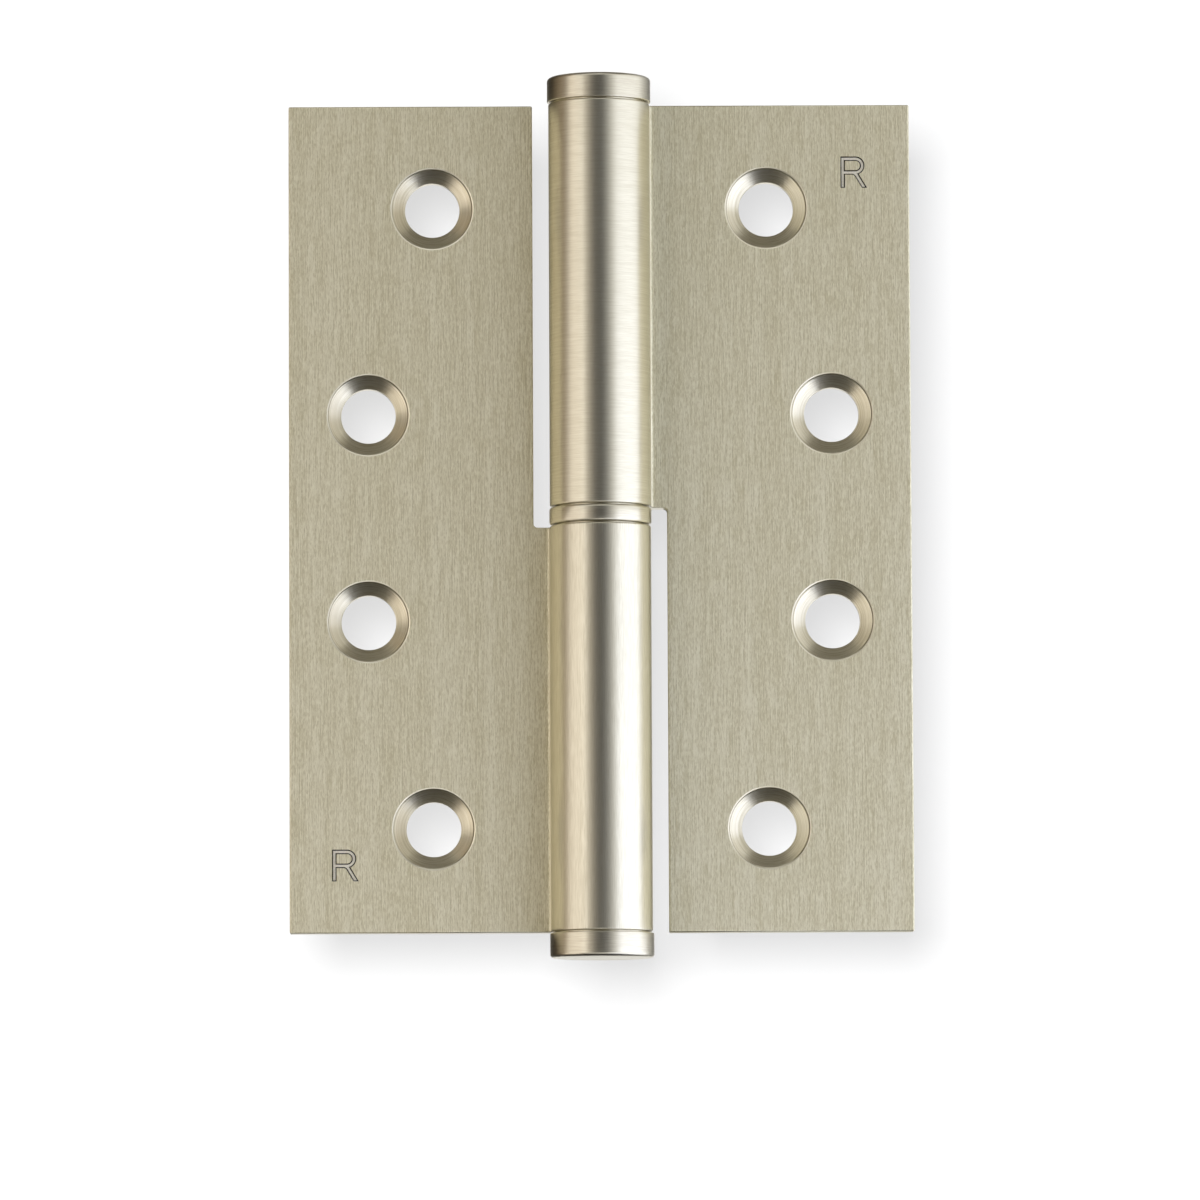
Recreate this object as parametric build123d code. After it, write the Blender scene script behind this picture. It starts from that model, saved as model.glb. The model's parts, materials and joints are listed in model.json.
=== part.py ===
from build123d import *
import math
import os

# Lift-off hinge, opened flat. The pin axis is +Z through the origin, at mid-height. The countersunk
# faces look along -Y, the door leaf lies on +X with the upper knuckle, the frame leaf on -X with the lower.

# Leaves, in millimetres
leaf_height = 101.6
open_width = 76.2
leaf_thickness = 3.0
closed_gap = 2.5  # between the two countersunk faces when the hinge is shut
edge_break = 0.2  # on the outer edges of a leaf and its knuckle

# Knuckles
knuckle_diameter = 12.4
front_root_fillet = 0.45  # where the knuckle runs into the countersunk face
back_root_fillet = 0.8
notch_gap = 2.0  # from a knuckle to the other leaf, which is cut away round it
notch_corner_radius = 0.5

# Screw holes, in two staggered rows on each leaf
hole_count = 4
screw_hole_diameter = 6.7
countersink_diameter = 10.2
countersink_angle = 100
hole_end_margin = 12.7  # from the end of a leaf to its nearest hole
row_stagger = 7.9  # between the row of the end holes and the row of the middle holes
row_shift = 1.3  # from the middle of the plate's full-height part to midway between the rows

# Pin and thrust washer
pin_diameter = 7.0
pin_nose_chamfer = 1.0
pin_head_room = 2.6  # from the pin's nose to the top cap's spigot
running_clearance = 0.05  # radial, round the pin in the washer and the upper knuckle
washer_diameter = 12.5
washer_thickness = 2.4
washer_chamfer = 0.3

# End caps
cap_diameter = 12.7
cap_height = 3.2
cap_rim_radius = 0.5
cap_seat_chamfer = 0.3
spigot_length = 5.0
spigot_chamfer = 0.4

# Places that follow from these sizes
leaf_reach = open_width / 2
leaf_end = leaf_height / 2
face_y = closed_gap / 2
back_y = face_y + leaf_thickness
knuckle_radius = knuckle_diameter / 2
knuckle_start = washer_thickness / 2
knuckle_length = leaf_end - knuckle_start
notch_reach = knuckle_radius + notch_gap
row_middle = (notch_reach + leaf_reach) / 2 + row_shift
pin_radius = pin_diameter / 2
running_radius = pin_radius + running_clearance
spigot_end = leaf_end - spigot_length
pin_top = spigot_end - pin_head_room


# Cross-section of a leaf: the knuckle's circle and the plate beside it, blended at both roots
def leaf_section():
    plate = Pos(leaf_reach / 2, (face_y + back_y) / 2) * Rectangle(leaf_reach, leaf_thickness)
    section = Rot(0, 0, 180) * Circle(knuckle_radius) + plate
    for root_y, radius in ((face_y, front_root_fillet), (back_y, back_root_fillet)):
        root = Vector(math.sqrt(knuckle_radius**2 - root_y**2), root_y, 0)
        section = fillet(section.vertices().sort_by_distance(root)[0], radius)
    return section


# Room for the other leaf's knuckle, from the plane of the knuckle's end to past the leaf's end
def notch_cutter():
    width = notch_reach + knuckle_diameter
    height = leaf_end + leaf_height
    corner = Vector(notch_reach, 0, knuckle_start)
    middle = Pos(notch_reach - width / 2, knuckle_start - height / 2)
    outline = Plane.XZ * middle * Rectangle(width, height)
    outline = fillet(outline.vertices().sort_by_distance(corner)[0], notch_corner_radius)
    return extrude(outline, amount=knuckle_diameter, both=True)


# Edges that a finisher breaks: both end outlines, the free edge, and round the notch and the knuckle's end
def outer_edges(leaf):
    ends = leaf.faces().filter_by(Axis.Z).sort_by(Axis.Z)
    free_edge = leaf.faces().sort_by(Axis.X)[-1]
    notch_side = leaf.faces().filter_by(Axis.X).sort_by(Axis.X)[0]
    edges = []
    for face in (*ends, free_edge, notch_side):
        for edge in face.edges():
            if not any(edge.is_same(kept) for kept in edges):
                edges.append(edge)
    return edges


# Centres of the screw holes: the end holes in the row nearer the pin, the middle holes further out
def hole_centres():
    pitch = (leaf_height - 2 * hole_end_margin) / (hole_count - 1)
    centres = []
    for index in range(hole_count):
        at_end = index in (0, hole_count - 1)
        side = -1 if at_end else 1
        height = hole_end_margin - leaf_end + index * pitch
        centres.append((row_middle + side * row_stagger / 2, height))
    return centres


# One leaf with its knuckle, in one piece, as it lies on the +X side with the knuckle above
def leaf(bore_radius):
    body = extrude(Pos(0, 0, -leaf_end) * leaf_section(), amount=leaf_height)
    body -= notch_cutter()
    body = chamfer(outer_edges(body), edge_break)
    for reach, height in hole_centres():
        seat = Plane(origin=(reach, face_y, height), x_dir=(1, 0, 0), z_dir=(0, -1, 0))
        body -= seat * CounterSinkHole(
            screw_hole_diameter / 2, countersink_diameter / 2, leaf_thickness, countersink_angle
        )
    bore = Cylinder(bore_radius, knuckle_length, align=(Align.CENTER, Align.CENTER, Align.MIN))
    return body - Pos(0, 0, knuckle_start) * bore


# Straight pin: it sits on the bottom cap's spigot and ends in a tapered nose that finds the upper bore
def hinge_pin():
    length = pin_top + spigot_end
    body = Cylinder(pin_radius, length, align=(Align.CENTER, Align.CENTER, Align.MIN))
    nose = body.edges().sort_by(Axis.Z)[-1]
    return Pos(0, 0, -spigot_end) * chamfer(nose, pin_nose_chamfer)


# Loose ring that the upper knuckle turns on
def thrust_washer():
    ring = Cylinder(washer_diameter / 2, washer_thickness)
    ring = chamfer(ring.edges().filter_by(GeomType.CIRCLE), washer_chamfer)
    return ring - Cylinder(running_radius, washer_thickness)


# Turned cap with its seat on z = 0, the rounded head above and the spigot below
def end_cap(spigot_radius):
    head = Cylinder(cap_diameter / 2, cap_height, align=(Align.CENTER, Align.CENTER, Align.MIN))
    seat, rim = head.edges().filter_by(GeomType.CIRCLE).sort_by(Axis.Z)
    head = chamfer(seat, cap_seat_chamfer)
    rim = head.edges().filter_by(GeomType.CIRCLE).sort_by(Axis.Z)[-1]
    head = fillet(rim, cap_rim_radius)
    spigot = Cylinder(spigot_radius, spigot_length, align=(Align.CENTER, Align.CENTER, Align.MAX))
    spigot = chamfer(spigot.edges().sort_by(Axis.Z)[0], spigot_chamfer)
    return head + spigot


# The frame leaf is the door leaf's shape turned half round about Y, with a bore that grips the pin
half_turn = Rot(0, 180, 0)
nodes = {
    "frame_leaf": half_turn * leaf(pin_radius),
    "door_leaf": leaf(running_radius),
    "hinge_pin": hinge_pin(),
    "thrust_washer": thrust_washer(),
    "top_cap": Pos(0, 0, leaf_end) * end_cap(running_radius),
    "bottom_cap": half_turn * Pos(0, 0, leaf_end) * end_cap(pin_radius),
}

os.makedirs("parts", exist_ok=True)
for name, shape in nodes.items():
    export_step(shape, f"parts/{name}.step")
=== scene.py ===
import bmesh
import bpy
import json
import math
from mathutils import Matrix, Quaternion, Vector


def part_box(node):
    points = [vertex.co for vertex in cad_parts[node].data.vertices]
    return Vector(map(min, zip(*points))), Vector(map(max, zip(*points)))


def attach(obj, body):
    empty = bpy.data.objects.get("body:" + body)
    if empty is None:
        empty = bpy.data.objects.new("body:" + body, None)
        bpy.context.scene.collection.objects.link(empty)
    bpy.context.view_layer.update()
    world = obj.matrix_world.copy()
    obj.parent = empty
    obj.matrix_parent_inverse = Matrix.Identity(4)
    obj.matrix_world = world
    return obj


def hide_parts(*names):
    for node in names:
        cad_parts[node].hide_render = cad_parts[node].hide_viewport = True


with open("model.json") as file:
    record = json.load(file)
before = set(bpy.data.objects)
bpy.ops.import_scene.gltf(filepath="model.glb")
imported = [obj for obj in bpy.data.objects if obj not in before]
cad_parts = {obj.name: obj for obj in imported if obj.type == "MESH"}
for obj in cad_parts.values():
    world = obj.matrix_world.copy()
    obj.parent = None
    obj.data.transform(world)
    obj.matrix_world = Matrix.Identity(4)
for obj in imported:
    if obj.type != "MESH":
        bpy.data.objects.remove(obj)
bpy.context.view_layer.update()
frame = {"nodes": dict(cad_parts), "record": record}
mm = 0.001  # the frame is in metres
tiny = 0.005 * mm  # how near two places are taken as the same
joinAt = tiny / 5  # vertices nearer than this are merged
quarter = math.pi / 2

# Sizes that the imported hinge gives
doorLow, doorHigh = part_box("door_leaf")
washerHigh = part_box("thrust_washer")[1]
pinLow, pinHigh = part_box("hinge_pin")
capLow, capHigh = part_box("top_cap")
mounts = {mount["name"]: mount for mount in frame["record"]["mounts"]}
hinge = dict(
    barrel=-doorLow.x,  # radius of the knuckles
    reach=doorHigh.x,  # pin axis to a leaf's free edge
    end=doorHigh.z,  # mid-height to a leaf's end
    start=washerHigh.z,  # mid-height to a knuckle's inner end
    back=mounts["door_back"]["pos_m"][1],  # plane of the leaves' backs
    screw=mounts["door_end_screws"]["dims"]["hole_r_mm"] * mm,
    pin=pinHigh.x,
    cap=capHigh.x,
    capTop=capHigh.z,
    spigotEnd=capLow.z,
    washer=washerHigh.x,
)
print("frame loaded", sorted(frame["nodes"]))


# Places of one leaf's screw holes, as (x, z), from the two screw pairs of the door leaf
def screwPlaces():
    places = []
    for pair in ("door_end_screws", "door_middle_screws"):
        x = mounts[pair]["pos_m"][0]
        half = mounts[pair]["dims"]["spacing_y_mm"] * mm / 2
        places += [(x, half), (x, -half)]
    return places


def fromHole(x, z, places):  # distance to the axis of the nearest screw hole
    return min(math.hypot(x - holeX, z - holeZ) for holeX, holeZ in places)


# Modelling helpers: start a piece, select by place, cut with a boolean, finish the shading

def startPoint(name, place):
    bpy.ops.object.select_all(action="DESELECT")
    bpy.ops.mesh.primitive_plane_add(size=mm, location=(0, 0, 0))
    piece = bpy.context.object
    piece.name = piece.data.name = name
    bpy.ops.object.mode_set(mode="EDIT")
    bpy.ops.mesh.select_mode(type="VERT")
    bpy.ops.mesh.select_all(action="SELECT")
    bpy.ops.mesh.merge(type="CENTER")
    bpy.ops.transform.translate(value=place)
    return piece


def startRound(name, radius, low, high, steps):
    bpy.ops.object.select_all(action="DESELECT")
    middle = (low + high) / 2
    bpy.ops.mesh.primitive_cylinder_add(
        vertices=steps, radius=radius, depth=high - low, location=(0, 0, middle)
    )
    bpy.ops.object.transform_apply(location=True, rotation=True, scale=True)
    piece = bpy.context.object
    piece.name = piece.data.name = name
    bpy.ops.object.mode_set(mode="EDIT")
    return piece


def pick(piece, kind, test):
    bpy.ops.mesh.select_mode(type=kind)
    bpy.ops.mesh.select_all(action="DESELECT")
    shape = bmesh.from_edit_mesh(piece.data)
    for item in {"VERT": shape.verts, "EDGE": shape.edges, "FACE": shape.faces}[kind]:
        item.select_set(test(item))
    shape.select_flush_mode()
    bmesh.update_edit_mesh(piece.data)


def atHeight(item, height):
    return all(abs(vert.co.z - height) < tiny for vert in item.verts)


def push(x, y, z):
    bpy.ops.mesh.extrude_region_move(TRANSFORM_OT_translate={"value": (x, y, z)})


def turn(degrees, centre, steps):  # spin counts clockwise as positive, so the sign is changed
    angle = -math.radians(degrees)
    bpy.ops.mesh.spin(steps=steps, angle=angle, center=centre, axis=(0, 0, 1))


def soften(offset, segments):
    bpy.ops.mesh.bevel(offset=offset, offset_type="OFFSET", segments=segments, affect="EDGES")


def closeUp():
    bpy.ops.mesh.select_all(action="SELECT")
    bpy.ops.mesh.remove_doubles(threshold=joinAt)
    bpy.ops.mesh.normals_make_consistent(inside=False)


def cutAway(piece, cutter):
    bpy.ops.object.select_all(action="DESELECT")
    bpy.context.view_layer.objects.active = piece
    piece.select_set(True)
    bpy.ops.object.modifier_add(type="BOOLEAN")
    cut = piece.modifiers[-1]
    cut.operation = "DIFFERENCE"
    cut.solver = "EXACT"
    cut.object = cutter
    bpy.ops.object.modifier_apply(modifier=cut.name)
    bpy.data.objects.remove(cutter)


def finishShading(piece, degrees):
    bpy.ops.object.select_all(action="DESELECT")
    bpy.context.view_layer.objects.active = piece
    piece.select_set(True)
    bpy.ops.object.shade_smooth_by_angle(angle=math.radians(degrees))
    bpy.ops.object.modifier_add(type="WEIGHTED_NORMAL")
    weighted = piece.modifiers[-1]
    weighted.weight = 100  # large faces stay flat up to their rounded edges
    weighted.keep_sharp = True
    bpy.ops.object.modifier_apply(modifier=weighted.name)


# Leaf with its knuckle, modelled once as the door leaf

leafShape = dict(
    thickness=3.0 * mm,
    frontRoot=0.45 * mm,  # hollow radius where the knuckle runs into the countersunk face
    backRoot=0.8 * mm,
    notchGap=2.0 * mm,
    notchCorner=(0.5 * mm, 6),  # radius and segments
    edgeBreak=(0.2 * mm, 3),
    flatAngle=0.1,  # degrees: faces that differ by less become one
    sharpAngle=60,  # degrees: edges at least this sharp are broken
    countersink=5.1 * mm,  # radius at the face
    flare=50,  # degrees from the hole's axis to the cone
    lip=(0.15 * mm, 0.05 * mm),  # shallow bevel of the countersink's rim: how far in, how deep
    step=(0.12 * mm, 0.26 * mm),  # steep wall just inside that
    ringSlack=4 * tiny,  # how near the rim's rings an edge counts as one of theirs
    backLip=0.14 * mm,
    runningFit=0.05 * mm,  # play of a bore that turns on the pin, on the radius
    screwPast=0.04 * mm,  # how far the cutters run past the metal
    borePast=1.0 * mm,
    barrelSteps=180,
    rootSteps=8,
    holeSteps=96,
    boreSteps=128,
)
leafFace = hinge["back"] - leafShape["thickness"]
notchEdge = hinge["barrel"] + leafShape["notchGap"]
runningBore = hinge["pin"] + leafShape["runningFit"]


def drawSection(name):
    top = hinge["end"]
    front, back = leafShape["frontRoot"], leafShape["backRoot"]
    frontY, backY = leafFace - front, hinge["back"] + back  # centres of the two root radii
    frontX = math.sqrt((hinge["barrel"] + front) ** 2 - frontY**2)
    backX = math.sqrt((hinge["barrel"] + back) ** 2 - backY**2)
    frontAngle = math.degrees(math.atan2(frontY, frontX))
    backAngle = math.degrees(math.atan2(backY, backX))
    leaf = startPoint(name, (notchEdge, leafFace, top))
    push(frontX - notchEdge, 0, 0)
    turn(90 + frontAngle, (frontX, frontY, top), leafShape["rootSteps"])
    turn(backAngle - frontAngle - 360, (0, 0, top), leafShape["barrelSteps"])
    turn(90 - backAngle, (backX, backY, top), leafShape["rootSteps"])
    push(notchEdge - backX, 0, 0)
    bpy.ops.mesh.select_all(action="SELECT")
    bpy.ops.mesh.edge_face_add()
    return leaf


def atNotch(edge):
    return all(abs(vert.co.x - notchEdge) < tiny for vert in edge.verts)


def modelLeaf(name):
    leaf = drawSection(name)
    pick(leaf, "EDGE", atNotch)
    push(hinge["reach"] - notchEdge, 0, 0)
    pick(leaf, "FACE", lambda face: True)
    push(0, 0, hinge["start"] - hinge["end"])
    pick(leaf, "FACE", lambda face: face.calc_center_median().x > notchEdge
         and atHeight(face, hinge["start"]))
    push(0, 0, -hinge["end"] - hinge["start"])
    closeUp()
    bpy.ops.mesh.dissolve_limited(angle_limit=math.radians(leafShape["flatAngle"]))
    pick(leaf, "EDGE", lambda edge: atNotch(edge) and atHeight(edge, hinge["start"]))
    soften(*leafShape["notchCorner"])
    bpy.ops.mesh.select_all(action="DESELECT")
    bpy.ops.mesh.edges_select_sharp(sharpness=math.radians(leafShape["sharpAngle"]))
    soften(*leafShape["edgeBreak"])
    closeUp()
    bpy.ops.object.mode_set(mode="OBJECT")
    return leaf


# Countersunk screw hole as a solid to cut with: rings from the face to the back, (radius, depth)
def screwRings():
    rim, past = leafShape["countersink"], leafShape["screwPast"]
    lipIn, lipDown = leafShape["lip"]
    stepIn, stepDown = leafShape["step"]
    thick, chamfer = leafShape["thickness"], leafShape["backLip"]
    inner, depth = rim - lipIn - stepIn, lipDown + stepDown
    cone = (inner - hinge["screw"]) / math.tan(math.radians(leafShape["flare"]))
    return [
        (rim + past * lipIn / lipDown, -past),
        (rim - lipIn, lipDown),
        (inner, depth),
        (hinge["screw"], depth + cone),
        (hinge["screw"], thick - chamfer),
        (hinge["screw"] + chamfer + past, thick + past),
    ]


def screwCutter(x, z):
    rings = screwRings()
    radius, depth = rings[0]
    bpy.ops.object.select_all(action="DESELECT")
    bpy.ops.mesh.primitive_circle_add(
        vertices=leafShape["holeSteps"], radius=radius, fill_type="NGON",
        location=(x, leafFace + depth, z), rotation=(quarter, 0, 0),
    )
    bpy.ops.object.transform_apply(location=True, rotation=True, scale=True)
    cutter = bpy.context.object
    bpy.ops.object.mode_set(mode="EDIT")
    pick(cutter, "FACE", lambda face: True)
    for nextRadius, nextDepth in rings[1:]:
        push(0, nextDepth - depth, 0)
        grown = nextRadius / radius
        middle = (x, leafFace + nextDepth, z)
        bpy.ops.transform.resize(value=(grown, 1, grown), center_override=middle)
        radius, depth = nextRadius, nextDepth
    closeUp()
    bpy.ops.object.mode_set(mode="OBJECT")
    return cutter


def boreCutter(name, radius, low, high):
    cutter = startRound(name, radius, low, high, leafShape["boreSteps"])
    bpy.ops.object.mode_set(mode="OBJECT")
    return cutter


def onRing(edge, places):  # the rings of the countersink's rim stay crisp
    first, second = [vert.co for vert in edge.verts]
    outer, slack = leafShape["countersink"], leafShape["ringSlack"]
    inner = outer - leafShape["lip"][0] - leafShape["step"][0]
    away = fromHole(first.x, first.z, places)
    return abs(first.y - second.y) < tiny and inner - slack < away < outer + slack


def drillLeaf(leaf, bore):
    places = screwPlaces()
    for x, z in places:
        cutAway(leaf, screwCutter(x, z))
    past = leafShape["borePast"]
    cutAway(leaf, boreCutter("bore", bore, hinge["start"] - past, hinge["end"] + past))
    bpy.ops.object.mode_set(mode="EDIT")
    pick(leaf, "EDGE", lambda edge: onRing(edge, places))
    bpy.ops.mesh.mark_sharp()
    bpy.ops.object.mode_set(mode="OBJECT")


def halfTurn(piece):  # about the Y axis, so the knuckle is below and the plate on the left
    bpy.context.view_layer.objects.active = piece
    bpy.ops.object.select_all(action="DESELECT")
    piece.select_set(True)
    piece.rotation_euler = (0, math.pi, 0)
    bpy.ops.object.transform_apply(location=True, rotation=True, scale=True)


# Hand mark: the plain letter for right-hand, cut upright into the corner of each leaf

handMark = dict(
    height=3.9 * mm, width=3.25 * mm,
    stroke=0.55 * mm, depth=0.16 * mm, slope=0.13 * mm,
    fromEdge=6.8 * mm, fromEnd=8.3 * mm,  # from the leaf's edges to the letter's middle
    bar=1.9 * mm,  # height of the middle bar
    bowl=0.85 * mm, bowlAt=1.83 * mm, bowlSteps=20,  # radius and place of the bowl
    legAt=1.4 * mm, legBend=0.7 * mm, legTurn=59, legSteps=8,
    sharpEdge=1,  # radians: edges of a stroke's floor sharper than this get the slope
    floorFacing=-0.9,  # a face that looks forward more than this is a stroke's floor
    shares=dict(stem=1.0, bowl=0.96, leg=0.92),  # of the depth, unlike so that no floors coincide
)


def strokeCutter(name):
    mark = handMark
    half = mark["stroke"] / 2
    top = mark["bar"] + 2 * mark["bowl"]
    if name == "stem":
        stroke = startPoint(name, (half, -half, 0))
        push(0, top + 2 * half, 0)
    elif name == "bowl":
        stroke = startPoint(name, (half, top, 0))
        push(mark["bowlAt"] - half, 0, 0)
        turn(-180, (mark["bowlAt"], mark["bar"] + mark["bowl"], 0), mark["bowlSteps"])
        push(half - mark["bowlAt"], 0, 0)
    else:
        stroke = startPoint(name, (mark["legAt"] / 2, mark["bar"], 0))
        push(mark["legAt"] / 2, 0, 0)
        bend = (mark["legAt"], mark["bar"] - mark["legBend"], 0)
        turn(-mark["legTurn"], bend, mark["legSteps"])
        lean = math.radians(mark["legTurn"])
        fall = mark["bar"] - mark["legBend"] * (1 - math.cos(lean)) + half
        push(fall / math.tan(lean), -fall, 0)
    bpy.ops.mesh.select_all(action="SELECT")
    push(0, 0, mark["depth"] * 2)  # half of it stands out of the face
    closeUp()
    bpy.ops.object.mode_set(mode="OBJECT")
    bpy.ops.object.modifier_add(type="SOLIDIFY")
    wall = stroke.modifiers[-1]
    wall.thickness = mark["stroke"]
    wall.offset = 0
    wall.use_even_offset = True
    bpy.ops.object.modifier_apply(modifier=wall.name)
    bpy.ops.object.mode_set(mode="EDIT")
    if name != "bowl":  # the foot is cut off level
        bpy.ops.mesh.select_all(action="SELECT")
        bpy.ops.mesh.bisect(
            plane_co=(0, 0, 0), plane_no=(0, -1, 0), clear_outer=True, use_fill=True
        )
    closeUp()
    pick(stroke, "EDGE", lambda edge: atHeight(edge, 0)
         and edge.calc_face_angle(0) > mark["sharpEdge"])
    soften(mark["slope"], 1)
    bpy.ops.object.mode_set(mode="OBJECT")
    return stroke


def stampMark(leaf, side):
    x = side * (hinge["reach"] - handMark["fromEdge"]) - handMark["width"] / 2
    z = side * (hinge["end"] - handMark["fromEnd"]) - handMark["height"] / 2
    for name, share in handMark["shares"].items():
        stroke = strokeCutter(name)
        stroke.rotation_euler = (quarter, 0, 0)
        stroke.location = (x, leafFace + handMark["depth"] * share, z)
        bpy.ops.object.transform_apply(location=True, rotation=True, scale=True)
        cutAway(leaf, stroke)


doorLeaf = modelLeaf("doorLeaf")
frameLeaf = doorLeaf.copy()
frameLeaf.data = doorLeaf.data.copy()
frameLeaf.name = frameLeaf.data.name = "frameLeaf"
bpy.context.scene.collection.objects.link(frameLeaf)
drillLeaf(doorLeaf, runningBore)
drillLeaf(frameLeaf, hinge["pin"])
halfTurn(frameLeaf)
stampMark(doorLeaf, 1)
stampMark(frameLeaf, -1)
print("leaves modelled", len(doorLeaf.data.polygons), len(frameLeaf.data.polygons))

# Turned pieces

turnedShape = dict(
    steps=160,
    pinSteps=96,
    rim=(0.45 * mm, 6),  # rounding of a cap's outer end: radius and segments
    corner=(0.12 * mm, 3),  # small rounding of a cap beside its gap
    ring=(0.28 * mm, 3),  # rounding of the washer's rims
    gap=0.17 * mm,  # the seat stands this far proud of the rim, so a fine dark line stays open
    seat=0.55 * mm,  # width of the rim that is set back
    nose=(1.0 * mm, 1),  # chamfer that leads the pin into the upper knuckle
    noseEdge=(0.12 * mm, 2),  # rounding of the chamfer's rims
)


def sinkRim(piece, height, inward):  # the middle of an end face stands proud by the gap
    pick(piece, "FACE", lambda face: atHeight(face, height))
    bpy.ops.mesh.inset(thickness=turnedShape["seat"], depth=0)
    push(0, 0, -inward * turnedShape["gap"])


def modelWasher(name):
    half = hinge["start"] - turnedShape["gap"]
    washer = startRound(name, hinge["washer"], -half, half, turnedShape["steps"])
    pick(washer, "EDGE", lambda edge: atHeight(edge, half) or atHeight(edge, -half))
    soften(*turnedShape["ring"])
    sinkRim(washer, half, -1)
    sinkRim(washer, -half, 1)
    closeUp()
    bpy.ops.object.mode_set(mode="OBJECT")
    cutAway(washer, boreCutter("washerBore", runningBore, -2 * half, 2 * half))
    return washer


def modelCap(name, spigot):
    rim = hinge["end"] + turnedShape["gap"]
    cap = startRound(name, hinge["cap"], rim, hinge["capTop"], turnedShape["steps"])
    pick(cap, "EDGE", lambda edge: atHeight(edge, hinge["capTop"]))
    soften(*turnedShape["rim"])
    pick(cap, "EDGE", lambda edge: atHeight(edge, rim))
    soften(*turnedShape["corner"])
    sinkRim(cap, rim, 1)
    seat = hinge["cap"] - turnedShape["corner"][0] - turnedShape["seat"]
    bpy.ops.mesh.inset(thickness=seat - spigot, depth=0)
    push(0, 0, hinge["spigotEnd"] - hinge["end"])
    closeUp()
    bpy.ops.object.mode_set(mode="OBJECT")
    return cap


def modelPin(name):
    pin = startRound(name, hinge["pin"], pinLow.z, pinHigh.z, turnedShape["pinSteps"])
    pick(pin, "EDGE", lambda edge: atHeight(edge, pinHigh.z))
    soften(*turnedShape["nose"])
    noseLow = pinHigh.z - 2 * turnedShape["nose"][0]
    pick(pin, "EDGE", lambda edge: edge.verts[0].co.z > noseLow
         and abs(edge.verts[0].co.z - edge.verts[1].co.z) < tiny)
    soften(*turnedShape["noseEdge"])
    closeUp()
    bpy.ops.object.mode_set(mode="OBJECT")
    return pin


washer = modelWasher("thrustRing")
topCap = modelCap("topCap", runningBore)  # its spigot fills the upper knuckle's bore
bottomCap = modelCap("bottomCap", hinge["pin"])
halfTurn(bottomCap)
pin = modelPin("steelPin")
print("turned pieces modelled")

smoothAngle = 40  # degrees: gentler edges are shaded as one surface
for piece in (doorLeaf, frameLeaf, washer, topCap, bottomCap, pin):
    finishShading(piece, smoothAngle)


# Materials

def linear(hexColour):
    parts = [int(hexColour[place:place + 2], 16) / 255 for place in (1, 3, 5)]
    return [part / 12.92 if part <= 0.04045 else ((part + 0.055) / 1.055) ** 2.4
            for part in parts] + [1]


def add(tree, kind, inputs, **settings):
    made = tree.nodes.new("ShaderNode" + kind)
    for name, value in settings.items():
        setattr(made, name, value)
    for socket, value in inputs.items():
        if isinstance(value, bpy.types.NodeSocket):
            tree.links.new(value, made.inputs[socket])
        else:
            made.inputs[socket].default_value = value
    return made


def newMaterial(name):
    material = bpy.data.materials.new(name)
    material.use_nodes = True
    material.node_tree.nodes.clear()
    return material, material.node_tree


# Satin nickel plate on brass, brushed with a belt: fine scratches that spread a highlight
# across them. The pin is ground steel, darker and greyer, with fine rings round it.
def brushedNickel(name, look):
    material, tree = newMaterial(name)
    coords = add(tree, "TexCoord", {}).outputs["Object"]
    if look["lay"] == "rings":  # round the Z axis: radius and height take the place of X and Z
        parts = add(tree, "SeparateXYZ", {"Vector": coords})
        flat = add(tree, "CombineXYZ", {"X": parts.outputs["X"], "Y": parts.outputs["Y"]})
        radius = add(tree, "VectorMath", {0: flat.outputs["Vector"]}, operation="LENGTH")
        coords = add(tree, "CombineXYZ", {
            "X": radius.outputs["Value"], "Y": parts.outputs["X"], "Z": parts.outputs["Z"],
        }).outputs["Vector"]
    if look["lay"] == "cutter":  # marks of the countersink tool, by distance from the hole's axis
        coords = add(tree, "Attribute", {}, attribute_name="fromAxis").outputs["Vector"]
    layers = []
    sizes = (look["fine"], look.get("long", look["fine"]), look["broad"])
    for size, detail in zip(sizes, look["detail"]):
        scale = [1 / (part * mm) for part in size]
        scaled = add(tree, "Mapping", {"Vector": coords, "Scale": scale})
        layers.append(add(tree, "TexNoise", {
            "Vector": scaled.outputs["Vector"], "Scale": 1.0,
            "Detail": detail, "Roughness": look["fading"],
        }).outputs["Fac"])
    scratches = add(tree, "Mix", {
        "Factor": look["longShare"], "A": layers[0], "B": layers[1],
    }).outputs["Result"]
    both = add(tree, "Mix", {
        "Factor": look["bands"], "A": scratches, "B": layers[2],
    }).outputs["Result"]
    shade = add(tree, "ValToRGB", {"Fac": both})
    shade.color_ramp.elements[0].position = 0.5 - look["half"]
    shade.color_ramp.elements[0].color = linear(look["dark"])
    shade.color_ramp.elements[1].position = 0.5 + look["half"]
    shade.color_ramp.elements[1].color = linear(look["light"])
    rough = add(tree, "MapRange", {
        "Value": both, "From Min": look["dull"], "From Max": look["bright"],
        "To Min": look["rough"] + look["spread"], "To Max": look["rough"] - look["spread"],
    })
    bump = add(tree, "Bump", {
        "Height": layers[0], "Strength": look["bump"], "Distance": look["groove"],
    })
    metal = add(tree, "BsdfPrincipled", {
        "Base Color": shade.outputs["Color"], "Metallic": 1.0,
        "Roughness": rough.outputs["Result"], "Anisotropic": look["anisotropy"],
        "Anisotropic Rotation": look["rotation"], "Normal": bump.outputs["Normal"],
    })
    add(tree, "OutputMaterial", {"Surface": metal.outputs["BSDF"]})
    return material


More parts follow.
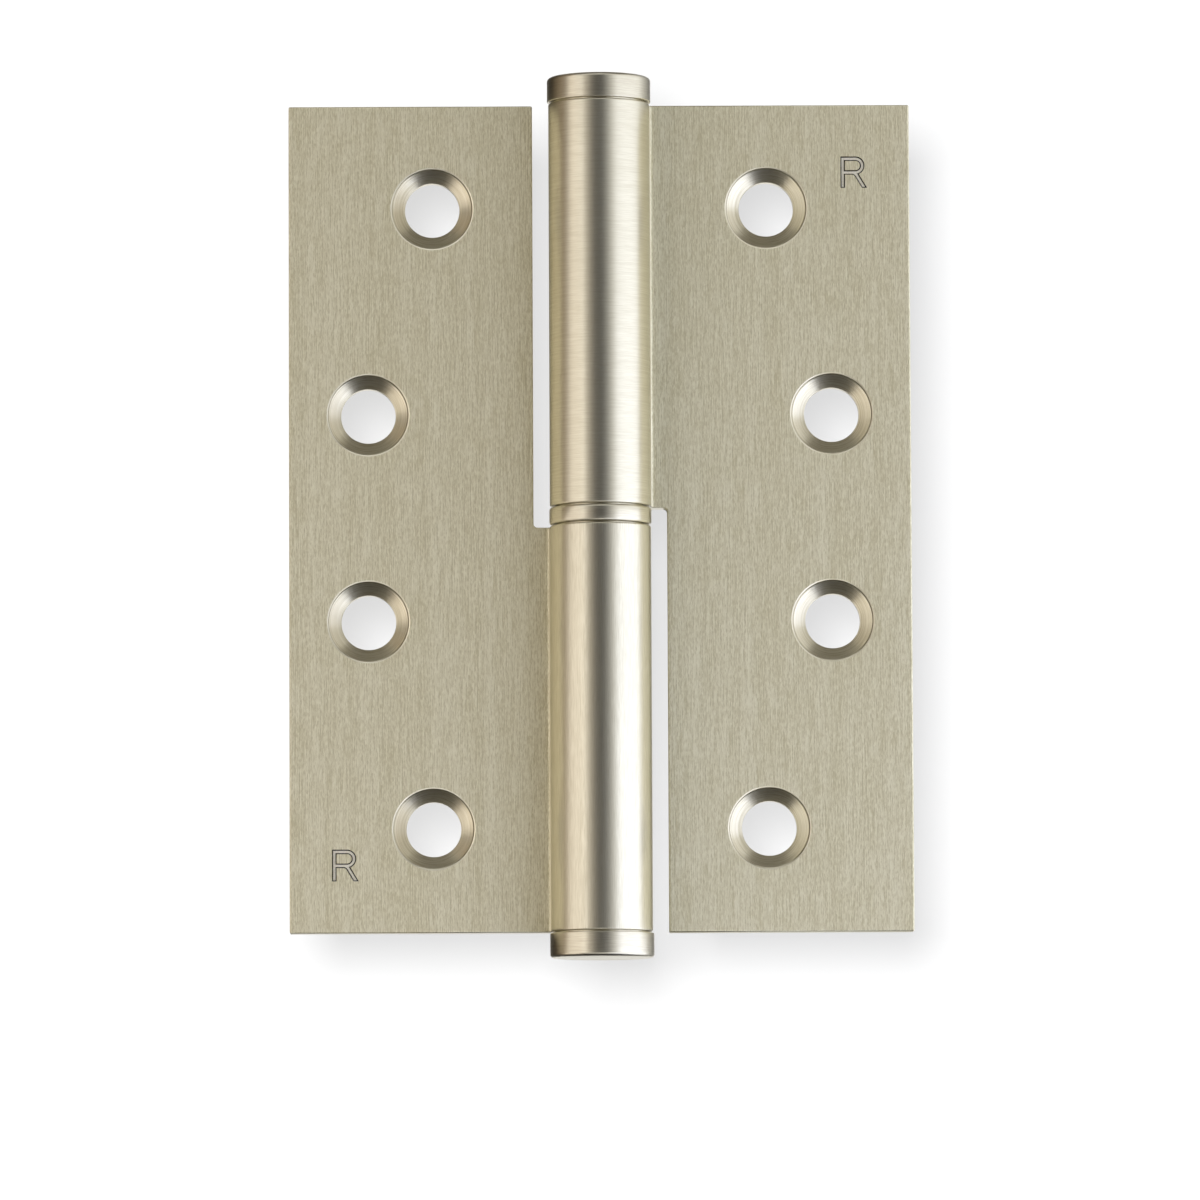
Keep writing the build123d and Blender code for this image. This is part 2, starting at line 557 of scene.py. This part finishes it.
# What the looks share, unless one gives its own value
grain = dict(
    detail=(3.0, 3.0, 2.0),  # of the short scratches, the long ones and the wide bands
    fading=0.6,  # how much the noise's finer steps count
    longShare=0.5,  # long scratches against short ones
    bands=0.2,  # share of the wide bands
    half=0.11,  # half the noise range from dark to light: less is more contrast
    dull=0.35, bright=0.65,  # noise at the roughest and at the smoothest metal
    groove=0.01 * mm,
)

# fine, long and broad are sizes along X, Y and Z in millimetres, drawn a little coarser than
# the real grit so that they show. A look without long uses its fine scratches twice.
nickelLooks = dict(
    plate=dict(  # belt-brushed lengthwise: satin, with a grain of short and long lines
        lay="straight", dark="#dcd4b2", light="#fffae0", rough=0.52, spread=0.05,
        anisotropy=0.76, rotation=0.0, bump=0.12, bands=0.12, half=0.078,
        fine=(0.10, 0.10, 0.5), long=(0.095, 0.095, 5.0), broad=(2.2, 2.2, 90.0),
    ),
    roundKnuckle=dict(  # brushed round: fine rings, and reflections with soft edges
        lay="rings", dark="#dad4bf", light="#e6e1ce", rough=0.34, spread=0.03,
        anisotropy=0.3, rotation=0.25, bump=0.05,
        fine=(0.08, 2.0, 0.08), broad=(0.35, 6.0, 0.35),
    ),
    longKnuckle=dict(  # brushed lengthwise: no rings, smoother reflections
        lay="straight", dark="#d8d2bd", light="#e8e3d0", rough=0.33, spread=0.03,
        anisotropy=0.0, rotation=0.0, bump=0.05,
        fine=(0.08, 0.08, 2.0), broad=(0.35, 0.35, 12.0),
    ),
    turned=dict(  # washer and caps, brushed on the lathe
        lay="rings", dark="#d4cdb9", light="#e4dfcc", rough=0.32, spread=0.03,
        anisotropy=0.3, rotation=0.25, bump=0.05,
        fine=(0.08, 2.0, 0.08), broad=(0.3, 6.0, 0.3),
    ),
    countersink=dict(  # cut by a tool that turns in the hole: rings, glossier than the plate
        lay="cutter", dark="#d9d1b6", light="#f6f0dc", rough=0.32, spread=0.03,
        anisotropy=0.0, rotation=0.0, bump=0.10,
        fine=(0.09, 3.0, 0.09), broad=(0.35, 6.0, 0.35),
    ),
    pin=dict(  # ground steel
        lay="rings", dark="#8d8b87", light="#b4b1ac", rough=0.30, spread=0.04,
        anisotropy=0.4, rotation=0.25, bump=0.05,
        fine=(0.08, 2.0, 0.08), broad=(0.3, 6.0, 0.3),
    ),
    stampedFloor=dict(  # pressed flat, so matt and pale
        lay="straight", dark="#f4eedb", light="#fffbee", rough=0.55, spread=0.04,
        anisotropy=0.6, rotation=0.0, bump=0.05,
        fine=(0.15, 0.15, 0.15), broad=(0.6, 0.6, 0.6),
    ),
    stampedWallPaintedShade=dict(  # painted shade: the letter's steep sides are coloured near-black, so it reads as a dark outline
        lay="straight", dark="#100c05", light="#221b10", rough=0.50, spread=0.04,
        anisotropy=0.0, rotation=0.0, bump=0.05,
        fine=(0.15, 0.15, 0.15), broad=(0.6, 0.6, 0.6),
    ),
)
nickel = {}
for key, look in nickelLooks.items():
    name = "groundSteel" if key == "pin" else "satinNickel_" + key
    nickel[key] = brushedNickel(name, {**grain, **look})


def dressLeaf(leaf, knuckle):
    keys = ["plate", knuckle, "countersink", "stampedFloor", "stampedWallPaintedShade"]
    for key in keys:
        leaf.data.materials.append(nickel[key])
    side = 1 if leaf is doorLeaf else -1
    places = [(side * x, side * z) for x, z in screwPlaces()]
    fromAxis = leaf.data.attributes.new("fromAxis", "FLOAT_VECTOR", "POINT")
    for point, value in zip(leaf.data.vertices, fromAxis.data):
        x, y, z = point.co
        value.vector = (fromHole(x, z, places), x, y)
    markX = side * (hinge["reach"] - handMark["fromEdge"])
    markZ = side * (hinge["end"] - handMark["fromEnd"])
    for face in leaf.data.polygons:
        x, y, z = face.center
        key = "plate"
        inside = leafFace + tiny < y < hinge["back"] - tiny
        if inside and fromHole(x, z, places) < leafShape["countersink"]:
            key = "countersink"
        elif inside and max(abs(x - markX), abs(z - markZ)) < handMark["height"]:
            onFloor = face.normal.y < handMark["floorFacing"]
            # faces that are not a floor take the near-black painted shade of the letter's sides
            key = "stampedFloor" if onFloor else "stampedWallPaintedShade"
        elif math.hypot(x, y) < hinge["barrel"] + leafShape["frontRoot"] / 2:
            key = knuckle
        face.material_index = keys.index(key)


dressLeaf(doorLeaf, "roundKnuckle")
dressLeaf(frameLeaf, "longKnuckle")
for piece in (washer, topCap, bottomCap):
    piece.data.materials.append(nickel["turned"])
pin.data.materials.append(nickel["pin"])

for piece, node, body, slot in (
    (doorLeaf, "door_leaf", "door_leaf", "brushed_leaf"),
    (frameLeaf, "frame_leaf", "frame_leaf", "brushed_leaf"),
    (washer, "thrust_washer", "thrust_washer", "turned_ring"),
    (topCap, "top_cap", "door_leaf", "turned_ring"),
    (bottomCap, "bottom_cap", "frame_leaf", "turned_ring"),
    (pin, "hinge_pin", "frame_leaf", "steel_pin"),
):
    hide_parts(node)
    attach(piece, body)
print("materials set")

# Studio, in metres and degrees. An azimuth of 0 is the camera's side, positive to the right

camera = dict(
    eye=(-5.99 * mm, -1100 * mm, -104.04 * mm),
    target=(-0.1 * mm, 0, -10.24 * mm),
    roll=-0.256,
    lens=271.1,
    sensor=36,
    near=0.01,
)
softboxes = dict(  # lean turns one about its own axis, and a radiance of 1 reflects as white
    softboxLeft=dict(
        azimuth=-62, distance=0.45, rise=-0.07, width=0.36, height=0.54,
        lean=-30, radiance=1.12, colour="#fff6ee",
    ),
    softboxRight=dict(
        azimuth=70, distance=0.42, rise=-0.15, width=0.86, height=0.52,
        lean=0, radiance=2.00, colour="#e8edff",
    ),
)
softboxBack = 1.03  # a black back stands this many times as far out as its softbox
# Flags draw the dark line down the barrel, and walls keep its sides from going white
cards = dict(  # azimuth, distance, rise, width, height, left shade, right shade
    flagCamera=(0, 0.40, 0.04, 0.12, 0.44, "#060606", "#060606"),
    flagEdgeLeft=(-22, 0.40, 0.03, 0.20, 0.46, "#d0c8be", "#060606"),
    flagEdgeRight=(22, 0.40, 0.06, 0.20, 0.40, "#060606", "#e8e8e8"),
    flagAbove=(0, 0, 0.45, 0.8, 0.6, "#5e5a52", "#5e5a52"),
    flagBelow=(0, 0, -0.50, 1.2, 1.0, "#1c1a18", "#1c1a18"),
    wallLeft=(-98, 0.6, 0, 0.9, 1.4, "#0c0806", "#a8947c"),
    wallBehindLeft=(-148, 0.7, 0, 0.5, 1.4, "#6a6864", "#15110d"),
    wallBehindRight=(134, 0.6, 0, 0.6, 1.4, "#d8d8d8", "#606060"),
)
paleFloor = dict(height=-0.52, size=8.0, paint="#f2f2f0")
paleBackdrop = dict(behind=46 * mm, size=0.5, paint=0.1, glow=0.62)  # the paint takes the shadow
shadowLamp = dict(place=(-80 * mm, -1100 * mm, -10 * mm), size=0.22, energy=45)
roomFill = 0.5  # strength of the white room as a light
white = (1, 1, 1, 1)


def placeCamera():
    bpy.ops.object.camera_add(location=camera["eye"])
    placed = bpy.context.object
    look = Vector(camera["target"]) - Vector(camera["eye"])
    roll = Quaternion((0, 0, 1), math.radians(camera["roll"]))
    placed.rotation_euler = (look.to_track_quat("-Z", "Y") @ roll).to_euler()
    placed.data.sensor_width = camera["sensor"]
    placed.data.lens = camera["lens"]
    placed.data.clip_start = camera["near"]
    bpy.context.scene.camera = placed


def around(azimuth, distance, rise):
    angle = math.radians(azimuth)
    level = Vector((math.sin(angle), -math.cos(angle), 0)) * distance
    return level + Vector((0, 0, rise))


# A card that only reflections see, graded from left to right
def placeCard(name, place, width, height, left, right):
    bpy.ops.mesh.primitive_plane_add(size=1, location=place)
    card = bpy.context.object
    card.name = name
    card.scale = (width, height, 1)
    card.rotation_euler = (-place).to_track_quat("Z", "Y").to_euler()
    material, tree = newMaterial(name)
    coords = add(tree, "TexCoord", {}).outputs["Object"]
    across = add(tree, "SeparateXYZ", {"Vector": coords}).outputs["X"]
    along = add(tree, "MapRange", {"Value": across, "From Min": 0.5, "From Max": -0.5},
                interpolation_type="SMOOTHSTEP").outputs["Result"]
    shade = add(tree, "MixRGB", {"Fac": along, "Color1": linear(left), "Color2": linear(right)})
    cloth = add(tree, "Emission", {"Color": shade.outputs["Color"], "Strength": 1.0})
    add(tree, "OutputMaterial", {"Surface": cloth.outputs["Emission"]})
    card.data.materials.append(material)
    card.visible_camera = False
    card.visible_shadow = False
    card.visible_diffuse = False


def placeSoftbox(name, box):
    place = around(box["azimuth"], box["distance"], box["rise"])
    bpy.ops.object.light_add(type="AREA", location=place)
    lamp = bpy.context.object
    lamp.name = name
    lean = Quaternion((0, 0, 1), math.radians(box["lean"]))
    lamp.rotation_euler = ((-place).to_track_quat("-Z", "Y") @ lean).to_euler()
    lamp.data.shape = "RECTANGLE"
    lamp.data.size, lamp.data.size_y = box["width"], box["height"]
    lamp.data.energy = box["radiance"] * math.pi * box["width"] * box["height"]
    lamp.data.color = linear(box["colour"])[:3]
    lamp.visible_camera = False
    black = "#000000"
    placeCard(name + "Back", place * softboxBack, box["width"], box["height"], black, black)


# 1 where the camera, a reflection or clear glass looks at the background, and 0 for its light
def seenDirectly(tree):
    path = add(tree, "LightPath", {})
    seen = path.outputs["Is Camera Ray"]
    for kind in ("Is Glossy Ray", "Is Transmission Ray"):
        either = add(tree, "Math", {0: seen, 1: path.outputs[kind]}, operation="MAXIMUM")
        seen = either.outputs["Value"]
    return seen


def placeFloor(name):
    place = (0, 0, paleFloor["height"])
    bpy.ops.mesh.primitive_plane_add(size=paleFloor["size"], location=place)
    floor = bpy.context.object
    floor.name = name
    material, tree = newMaterial(name)
    paint = add(tree, "BsdfDiffuse", {"Color": linear(paleFloor["paint"])})
    glow = add(tree, "Emission", {"Color": white, "Strength": 1.0})
    mix = add(tree, "MixShader", {
        0: seenDirectly(tree), 1: paint.outputs["BSDF"], 2: glow.outputs["Emission"],
    })
    add(tree, "OutputMaterial", {"Surface": mix.outputs["Shader"]})
    floor.data.materials.append(material)


# White paper behind the hinge that keeps a soft shadow from a lamp beside the camera,
# and is clear from behind
def placeBackdrop(name):
    place = (0, paleBackdrop["behind"], 0)
    bpy.ops.mesh.primitive_plane_add(
        size=paleBackdrop["size"], location=place, rotation=(quarter, 0, 0)
    )
    paper = bpy.context.object
    paper.name = name
    material, tree = newMaterial(name)
    grey = paleBackdrop["paint"]
    paint = add(tree, "BsdfDiffuse", {"Color": (grey, grey, grey, 1)})
    glow = add(tree, "Emission", {"Color": white, "Strength": paleBackdrop["glow"]})
    front = add(tree, "AddShader", {0: paint.outputs["BSDF"], 1: glow.outputs["Emission"]})
    clear = add(tree, "BsdfTransparent", {})
    side = add(tree, "NewGeometry", {})
    mix = add(tree, "MixShader", {
        0: side.outputs["Backfacing"], 1: front.outputs["Shader"], 2: clear.outputs["BSDF"],
    })
    add(tree, "OutputMaterial", {"Surface": mix.outputs["Shader"]})
    paper.data.materials.append(material)
    paper.visible_shadow = False
    paper.visible_diffuse = False
    paper.visible_glossy = False


# Lights the paper only: metal has no matt part, and reflections skip this lamp
def placeShadowLamp(name):
    place = Vector(shadowLamp["place"])
    bpy.ops.object.light_add(type="AREA", location=place)
    lamp = bpy.context.object
    lamp.name = name
    lamp.rotation_euler = (-place).to_track_quat("-Z", "Y").to_euler()
    lamp.data.shape = "DISK"
    lamp.data.size = shadowLamp["size"]
    lamp.data.energy = shadowLamp["energy"]
    lamp.visible_camera = False
    lamp.visible_glossy = False


def setWorld():
    world = bpy.data.worlds.new("whiteRoom")
    bpy.context.scene.world = world
    world.use_nodes = True
    tree = world.node_tree
    tree.nodes.clear()
    shown = add(tree, "Background", {"Color": white, "Strength": 1.0})
    dim = add(tree, "Background", {"Color": white, "Strength": roomFill})
    mix = add(tree, "MixShader", {
        0: seenDirectly(tree), 1: dim.outputs["Background"], 2: shown.outputs["Background"],
    })
    add(tree, "OutputWorld", {"Surface": mix.outputs["Shader"]})


placeCamera()
setWorld()
for name, box in softboxes.items():
    placeSoftbox(name, box)
for name, (azimuth, distance, rise, width, height, left, right) in cards.items():
    placeCard(name, around(azimuth, distance, rise), width, height, left, right)
placeFloor("paleFloor")
placeBackdrop("paleBackdrop")
placeShadowLamp("lampByCamera")
bpy.context.scene.view_settings.view_transform = "Standard"
print("studio set")
